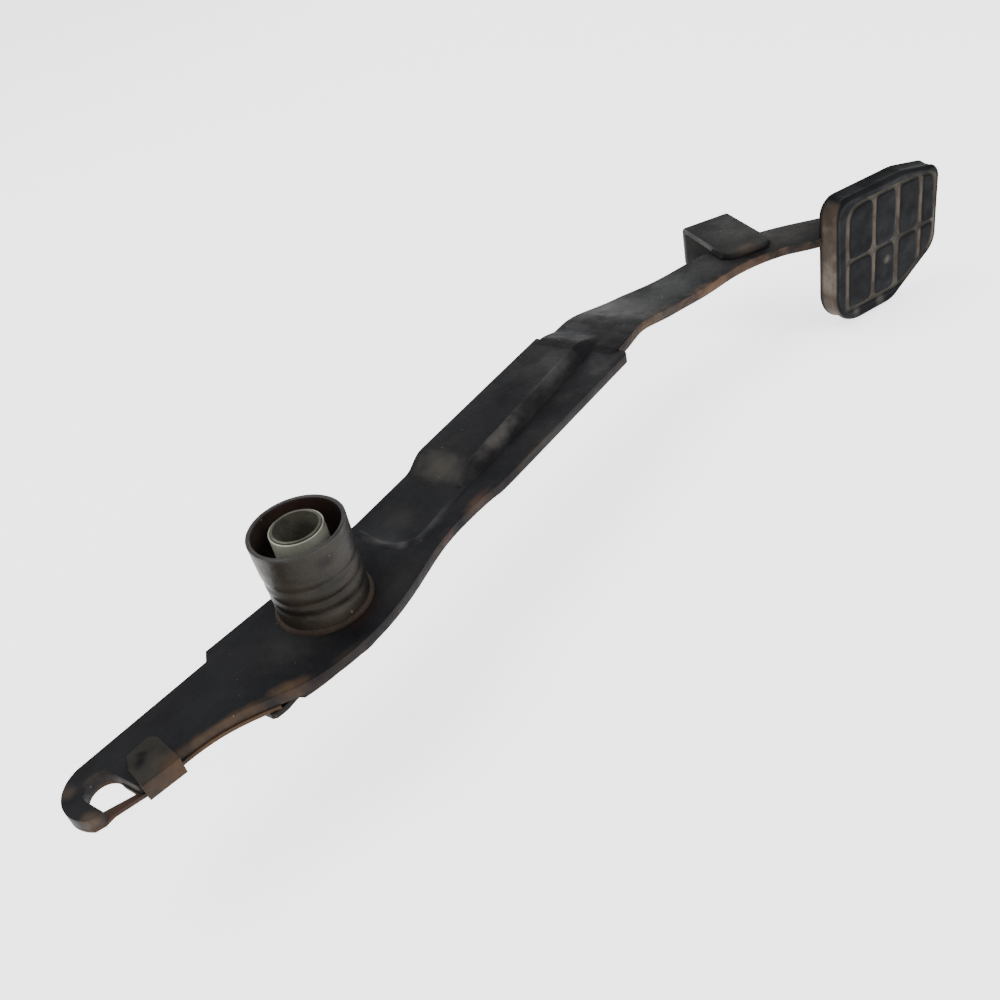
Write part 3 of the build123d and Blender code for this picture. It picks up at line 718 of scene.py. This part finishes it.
shortLook = {"along": 110, "around": 20, "width": 3.0, "height": 1.1, "ripples": 7, "rippleDepth": 0.3,
             "uneven": 0.14, "lean": 0.8, "seed": 40, "endPower": 8, "ring": False}
bracketLook = {"half": 12.5, "reach": 22.75, "lift": 0.6,
               # side, where its bead starts and ends along the bracket
               "ends": ((-1, -19.0, -7.5), (1, -19.0, -9.5))}
stop = mounts["stop_face"]
outward = np.array(stop["axis"], float)
along = np.array((outward[1], -outward[0], 0.0))
upward = np.array((0.0, 0.0, 1.0))
centre = np.array(stop["pos_m"], float) - outward * bracketLook["reach"] * mm
centre[2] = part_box("bracket_weld")[0][2] + bracketLook["lift"] * mm
beads = []
lean = shortLook["lean"]
for side, start, end in bracketLook["ends"]:
    edge = centre + along * side * bracketLook["half"] * mm
    beads.append(weldBead(
        f"bracketBead{side}", straight(edge + outward * start * mm, edge + outward * end * mm),
        steady(along * side - upward * lean), steady(along * side * lean + upward),
        {**shortLook, "seed": shortLook["seed"] + side}))
finish(joined(beads, "bracketWeldBeads"), "bracket_weld", "lever", paints["weld"])

face = mounts["pad_face"]
padOut = np.array(face["axis"], float)
padDown = np.array((-padOut[1], padOut[0], 0.0))
padUp = upward
padLook = {
    # k runs away from the arm, y up and lift outwards from the plate's back, all in mm
    "centreK": 34.0, "front": 9.0, "lip": 1.6, "lipWidth": 4.5, "insideLift": 3.05, "insideEdge": 3.3,
    # each corner's k, y and radius
    "outline": ((-2.6, 34.0, 9.0), (44.0, 34.0, 30.0), (68.8, 28.5, 7.0), (68.8, -13.5, 12.0),
                (38.0, -34.0, 14.0), (-2.6, -34.0, 18.0)),
    "middle": (33.0, -1.0), "around": 560, "facing": 121, "edgeRound": 2.2, "lipRound": 1.0,
    "taper": 0.4, "bulge": 0.5,
    "columns": ((7.6, 22.4), (25.4, 38.0), (41.6, 54.0), (57.2, 65.4)),
    "rows": ((1.4, 27.0), (-25.0, -1.4)), "cornerCut": 2.4, "outlineSoft": 1.8,
    "margin": 4.6, "frameGap": 1.3, "grooveDepth": 1.7, "blockSoft": 0.85, "cornerSoft": 1.5,
    "blockSink": 0.28, "crown": 0.25, "wear": 0.12, "notchHalf": 5.15, "notchAt": 12.75,
}


def padPoint(k, y, lift):
    # the pad's own coordinates, in mm, turned into the frame
    centre = np.array(face["pos_m"], float)
    k, y, lift = (np.asarray(v, float)[..., None] * mm for v in (k, y, lift))
    at = padDown * (k - padLook["centreK"] * mm) + padUp * y
    return centre + at + padOut * (lift - padLook["front"] * mm)


padWeldLook = {**shortLook, "start": 4.5, "end": 31.5, "lift": -0.8, "apart": 2.9,
               "seed": 50, "ripples": 10}
padBeads = []
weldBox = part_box("pad_weld")
barMid = (weldBox[0][2] + weldBox[1][2]) / 2 / mm - face["pos_m"][2] / mm
for side in (-1, 1):
    height = barMid + side * padWeldLook["apart"]
    start = padPoint(padWeldLook["start"], height, padWeldLook["lift"])
    end = padPoint(padWeldLook["end"], height, padWeldLook["lift"])
    padBeads.append(weldBead(
        f"padBead{side}", straight(start, end),
        steady(padUp * side + padOut * lean), steady(padUp * side - padOut),
        {**padWeldLook, "seed": padWeldLook["seed"] + side}))
finish(joined(padBeads, "padWeldBeads"), "pad_weld", "lever", paints["weld"])
print("welds placed")


def roundedOutline(corners, count):
    # the outline walked at even spacing: straight sides and an arc at each corner
    here = np.array([c[:2] for c in corners])
    radius = np.array([c[2] for c in corners])
    into = here - np.roll(here, 1, 0)
    into /= np.linalg.norm(into, axis=1)[:, None]
    out = np.roll(into, -1, 0)
    turn = np.arccos(np.clip((into * out).sum(1), -1, 1))
    bisect = out - into
    bisect /= np.linalg.norm(bisect, axis=1)[:, None]
    middle = here + bisect * (radius / np.cos(turn / 2))[:, None]
    share = np.linspace(-0.5, 0.5, 25)
    spoke = -bisect
    handed = np.sign(into[:, 0] * out[:, 1] - into[:, 1] * out[:, 0])
    swing = share[None, :] * turn[:, None] * handed[:, None]
    x = spoke[:, :1] * np.cos(swing) - spoke[:, 1:] * np.sin(swing)
    y = spoke[:, :1] * np.sin(swing) + spoke[:, 1:] * np.cos(swing)
    arcs = middle[:, None, :] + radius[:, None, None] * np.stack([x, y], -1)
    walk = np.concatenate([arcs.reshape(-1, 2), arcs[:1, 0]])
    length = np.concatenate([[0], np.cumsum(np.linalg.norm(np.diff(walk, axis=0), axis=1))])
    even = np.linspace(0, length[-1], count, endpoint=False)
    return np.stack([np.interp(even, length, walk[:, 0]), np.interp(even, length, walk[:, 1])], -1)


def least(depths, soft):
    # the smallest depth, its corners rounded over soft: minus the log of the summed exponentials
    return -soft * np.log(np.exp(-depths.clip(-30, 60) / soft).sum(-1))


def outlineDepth(k, y, look):
    # how far inside the outline a point lies, negative outside, sharp corners smoothed
    here = np.array([c[:2] for c in look["outline"]])
    step = np.roll(here, -1, 0) - here
    step /= np.linalg.norm(step, axis=1)[:, None]
    inward = np.stack([step[:, 1], -step[:, 0]], -1)
    depth = (k[..., None] - here[:, 0]) * inward[:, 0] + (y[..., None] - here[:, 1]) * inward[:, 1]
    return least(depth, look["outlineSoft"])


def blockHeight(k, y, look):
    # 1 on the raised blocks and the border, 0 in the grooves between them
    inside = outlineDepth(k, y, look)
    best = np.full(k.shape, -50.0)
    soft = look["cornerSoft"]
    first, last = look["columns"][0][0], look["rows"][0][1]
    cut = (k - first + last - y) / math.sqrt(2) - look["cornerCut"]
    frameWalls = (inside - look["margin"], k - first, last - y, y - look["rows"][1][0], cut)
    within = least(np.stack(frameWalls, -1), soft) + soft * 0.55
    for low, high in look["columns"]:
        for floor, top in look["rows"]:
            walls = np.stack([k - low, high - k, y - floor, top - y], -1)
            best = np.maximum(best, np.minimum(least(walls, soft) + soft * 0.55, within))
    border = -look["frameGap"] - within
    rise = np.maximum(best, border)
    return 1 / (1 + np.exp(-rise / look["blockSoft"] * 3.2)), best


def padCover(look):
    # rings that run from the back lip's inner edge round the side wall and over the face to its middle
    ring = roundedOutline(look["outline"], look["around"])
    middle = np.array(look["middle"])
    notch = 1 / (1 + np.exp((np.abs(ring[:, 1] - look["notchAt"]) - look["notchHalf"]) * 4))
    notch = notch * (ring[:, 0] < 20)
    away = ring - middle
    far = np.linalg.norm(away, axis=1)
    unit = away / far[:, None]
    # section: inset from the outline and lift, from the lip round to the face's edge
    arc = np.linspace(0, np.pi / 2, 9)[1:]
    r, back, top = look["edgeRound"], look["lipRound"], look["front"]
    lip, lipIn = -look["lip"], look["lipWidth"] + 3.0
    inset = np.concatenate([
        [lipIn, lipIn, lipIn - 0.4], np.linspace(lipIn - 1, back, 6), back - back * np.sin(arc),
        np.linspace(0.0, look["taper"], 10)[1:], look["taper"] + r * (1 - np.cos(arc))])
    lift = np.concatenate([
        [0.0, lip + 0.4, lip], np.full(6, lip), lip + back * (1 - np.cos(arc)),
        np.linspace(lip + back, top - r, 10)[1:], top - r + r * np.sin(arc)])
    onWall = (lift > -0.5) & (lift < top - r)
    bulge = np.where(onWall, look["bulge"] * np.sin(np.pi * np.clip((lift + 1) / top, 0, 1)), 0)
    onLip = (inset > back + 0.05)[:, None] & (lift < 0.1)[:, None]
    wallInset = inset[:, None] * np.where(onLip, 1 - 0.8 * notch[None, :], 1) + bulge[:, None]
    wall = ring[None, :, :] - unit[None, :, :] * wallInset[..., None]
    wallLift = np.tile(lift[:, None], (1, len(ring)))
    # face: from the rounded edge to the middle, with the blocks raised
    share = np.linspace(0, 1, look["facing"])[1:]
    rim = far - (look["taper"] + r)
    reach = rim[None, :] * (1 - share)[:, None]
    plane = middle + unit[None, :, :] * reach[..., None]
    raised, best = blockHeight(plane[..., 0], plane[..., 1], look)
    crown = look["crown"] * (1 - np.exp(-np.clip(best, 0, 9) / 3)) - look["blockSink"]
    wear = look["wear"] * waves(plane[..., 0] * 0.2 + plane[..., 1] * 0.13, 8, 1.0, 4)
    faceLift = top - look["grooveDepth"] * (1 - raised) + crown * raised
    faceLift = np.minimum(faceLift - np.abs(wear) * raised, top)
    near = np.clip(share / 0.05, 0, 1)[:, None]
    faceLift = faceLift * near + top * (1 - near)
    at = np.concatenate([wall, plane])
    height = np.concatenate([wallLift, faceLift])
    # the inside: back from the middle of the plate's face to the lip's inner edge
    edge = far - look["insideEdge"]
    inner = middle + unit[None, :, :] * np.stack([0 * far, edge, edge])[..., None]
    innerLift = np.repeat(np.array([look["insideLift"], look["insideLift"], 0.0])[:, None], len(ring), 1)
    at = np.concatenate([at, inner])
    height = np.concatenate([height, innerLift])
    points = padPoint(at[..., 0], at[..., 1], height)
    shades = np.concatenate([np.ones(wall.shape[:2]), raised, np.ones(inner.shape[:2])])
    return points, shades


def padPiece(look):
    # the cover's rings made a mesh, with how raised each point is kept for its paint
    points, shades = padCover(look)
    rows, cols = shades.shape
    piece = putMesh("padCoverRubber", points, gridFaces(rows, cols, True, True))
    layer = piece.data.attributes.new("raised", "FLOAT", "POINT")
    layer.data.foreach_set("value", shades.astype(np.float32).ravel())
    return tidyMesh(piece, 70)


rubberLook = {
    "dark": (0.0028, 0.0032, 0.0042), "light": (0.0070, 0.0074, 0.0084),
    "film": (0.014, 0.014, 0.0135), "filmShare": 0.3,
    "grooveDustAndHighlight": (0.066, 0.060, 0.050),
    # how pale the grooves are, dust and painted highlight on the block walls, near the arm and far from
    # it, and between which distances in mm
    "grooveDustAndHighlightShare": (0.85, 0.5), "grooveFade": (2, 30),
    "tanDark": (0.052, 0.039, 0.029), "tanLight": (0.130, 0.108, 0.088), "tanShare": 0.85,
    # the rubbed side starts between these lifts from the plate's back, in mm
    "tanStart": (-0.8, 1.6),
    "dust": (0.070, 0.064, 0.054),
    # k, y, reach and strength of each dusty spot
    "spots": ((33.0, -8.5, 2.8, 0.75), (12.0, -29.0, 3.5, 0.5), (29.0, -28.5, 4.0, 0.5)),
    "rough": (0.42, 0.72), "gloss": 0.05, "bump": 0.4, "bumpDepth": 0.0006,
}


def distance(tree, where, direction):
    # how far a place lies along a direction
    made = add(tree, "VectorMath", {0: where, 1: tuple(direction)}, operation="DOT_PRODUCT")
    return made.outputs["Value"]


def padRubber(look):
    # dark rubber on the blocks, pale dust with painted highlight in the grooves and on the block walls,
    # the arm side rubbed to tan
    paint = newMaterial("padRubber")
    tree, shader = paint["tree"], paint["shader"]
    at = coords(tree)
    where, facing = at.outputs["Object"], at.outputs["Normal"]
    here = np.array(face["pos_m"], float)
    blotch = span(tree, noise(tree, where, 60.0, 7.0, 0.6, 0.4), 0.35, 0.7)
    colour = blend(tree, blotch, look["dark"], look["light"])
    film = span(tree, noise(tree, where, 25.0, 6.0, 0.6, 0.5), 0.4, 0.75)
    colour = blend(tree, math2(tree, "MULTIPLY", film, look["filmShare"]), colour, look["film"])
    raised = add(tree, "Attribute", {}, attribute_name="raised").outputs["Fac"]
    # the grooves and block walls painted pale: partly dust, partly a painted highlight where the walls
    # catch the light
    grooveDustAndHighlight = span(tree, raised, 0.9, 0.35)
    broken = span(tree, noise(tree, where, 130.0, 6.0, 0.65, 0.5), 0.3, 0.6, 0.45, 1.0)
    grooveDustAndHighlight = math2(tree, "MULTIPLY", grooveDustAndHighlight, broken)
    start, end = (float(here @ padDown) + d * mm for d in look["grooveFade"])
    fade = span(tree, distance(tree, where, padDown), start, end, *look["grooveDustAndHighlightShare"])
    colour = blend(tree, math2(tree, "MULTIPLY", grooveDustAndHighlight, fade), colour, look["grooveDustAndHighlight"])
    back = float(here @ padOut) - padLook["front"] * mm
    start, end = (back + d * mm for d in look["tanStart"])
    rub = span(tree, distance(tree, facing, -padDown), 0.35, 0.8)
    rub = math2(tree, "MULTIPLY", rub, span(tree, distance(tree, where, padOut), start, end))
    patch = span(tree, noise(tree, where, 80.0, 7.0, 0.65), 0.3, 0.6, 0.55, 1.0)
    rub = math2(tree, "MULTIPLY", rub, patch)
    tan = span(tree, noise(tree, where, 45.0, 6.0), 0.4, 0.65)
    tan = blend(tree, tan, look["tanDark"], look["tanLight"])
    colour = blend(tree, math2(tree, "MULTIPLY", rub, look["tanShare"]), colour, tan)
    for k, y, reach, strength in look["spots"]:
        place = tuple(padPoint(k, y, padLook["front"]) / mm)
        dusty = spot(tree, where, place, reach, (1, 1, 1), 0)
        colour = blend(tree, math2(tree, "MULTIPLY", dusty, strength), colour, look["dust"])
    tree.links.new(colour, shader.inputs["Base Color"])
    rough = span(tree, noise(tree, where, 90.0, 6.0, 0.6), 0.3, 0.7, *look["rough"])
    tree.links.new(rough, shader.inputs["Roughness"])
    pore = noise(tree, where, 1500.0, 4.0, 0.6)
    lump = noise(tree, where, 260.0, 5.0, 0.6)
    height = math2(tree, "ADD", math2(tree, "MULTIPLY", pore, 0.35), math2(tree, "MULTIPLY", lump, 0.65))
    bump = add(tree, "Bump", {"Height": height, "Strength": look["bump"], "Distance": look["bumpDepth"]})
    tree.links.new(bump.outputs["Normal"], shader.inputs["Normal"])
    shader.inputs["Specular IOR Level"].default_value = look["gloss"]
    return paint


paints["rubber"] = padRubber(rubberLook)
cover = padPiece(padLook)
finish(cover, "pad_cover", "lever", paints["rubber"])
print("pad cover placed")

addCamera(cameraLook)
addStudio(studio)
print("camera, light and floor placed")
